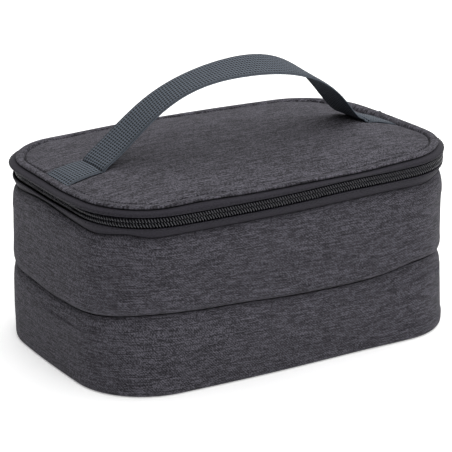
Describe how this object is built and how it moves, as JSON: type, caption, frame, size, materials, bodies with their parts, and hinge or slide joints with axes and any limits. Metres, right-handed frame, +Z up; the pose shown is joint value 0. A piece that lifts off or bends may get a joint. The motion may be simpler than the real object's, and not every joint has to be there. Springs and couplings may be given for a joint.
{
  "type": "insulated casserole carrier",
  "caption": "Soft insulated food carrier: a padded box of heathered cloth with rounded corners, a zipped lid hinged at the back and an arched webbing handle.",
  "frame": {"origin": "middle of the base, on the surface the carrier stands on", "axes": "+Z up, +X along the long side, front towards -Y, lid hinge at the back (+Y)"},
  "size_m": [0.2468, 0.1584, 0.1626],
  "materials": {
    "melange_cloth": "matt heathered dark grey weave",
    "plain_cloth": "matt plain dark grey weave",
    "webbing": "coarse blue-grey webbing",
    "zip_tape": "matt black woven tape",
    "binding_tape": "matt dark grey binding",
    "foam": "white closed-cell foam",
    "foil_lining": "silver metallised film",
    "base_board": "dark stiff plastic sheet",
    "nylon": "black nylon coil",
    "dark_metal": "dark painted zinc"
  },
  "bodies": {
    "body": {"bottom_panel": "melange_cloth", "base_board": "base_board", "base_foam": "foam", "base_lining": "foil_lining", "lower_wall_panel": "melange_cloth", "upper_wall_panel": "melange_cloth", "wall_foam": "foam", "wall_lining": "foil_lining", "mouth_binding": "binding_tape", "lower_zip_strip": "plain_cloth", "lower_zip_tape": "zip_tape", "lower_zip_teeth": "nylon", "back_hinge_strip": "plain_cloth"},
    "lid": {"lid_panel": "melange_cloth", "lid_edge_roll": "melange_cloth", "lid_foam": "foam", "lid_lining": "foil_lining", "lid_binding": "binding_tape", "upper_zip_strip": "plain_cloth", "upper_zip_tape": "zip_tape", "upper_zip_teeth": "nylon", "left_handle_end": "webbing", "right_handle_end": "webbing"},
    "handle": {"handle_strap": "webbing", "left_strap_root": "webbing", "right_strap_root": "webbing"},
    "slider": {"zip_slider": "dark_metal"},
    "pull": {"zip_pull": "dark_metal"}
  },
  "joints": [
    {"name": "lid_hinge", "type": "hinge", "parent": "body", "child": "lid", "pos_m": [0, 0.0791, 0.1013], "axis": [-1, 0, 0], "range_deg": [0, 170], "deforming": ["back_hinge_strip"]},
    {"name": "handle_swing", "type": "hinge", "parent": "lid", "child": "handle", "pos_m": [0, 0, 0.1129], "axis": [1, 0, 0], "range_deg": [-45, 35], "stiffness_Nm_per_rad": 0.02, "deforming": ["left_strap_root", "right_strap_root"]},
    {"name": "slider_run", "type": "hinge", "parent": "body", "child": "slider", "pos_m": [-0.391, 0, 0.1013], "axis": [0, 0, 1], "range_deg": [-5.84, 0]},
    {"name": "pull_swing", "type": "hinge", "parent": "slider", "child": "pull", "pos_m": [0.12398, 0.02629, 0.1013], "axis": [0.051, -0.9987, 0], "range_deg": [0, 160]}
  ]
}
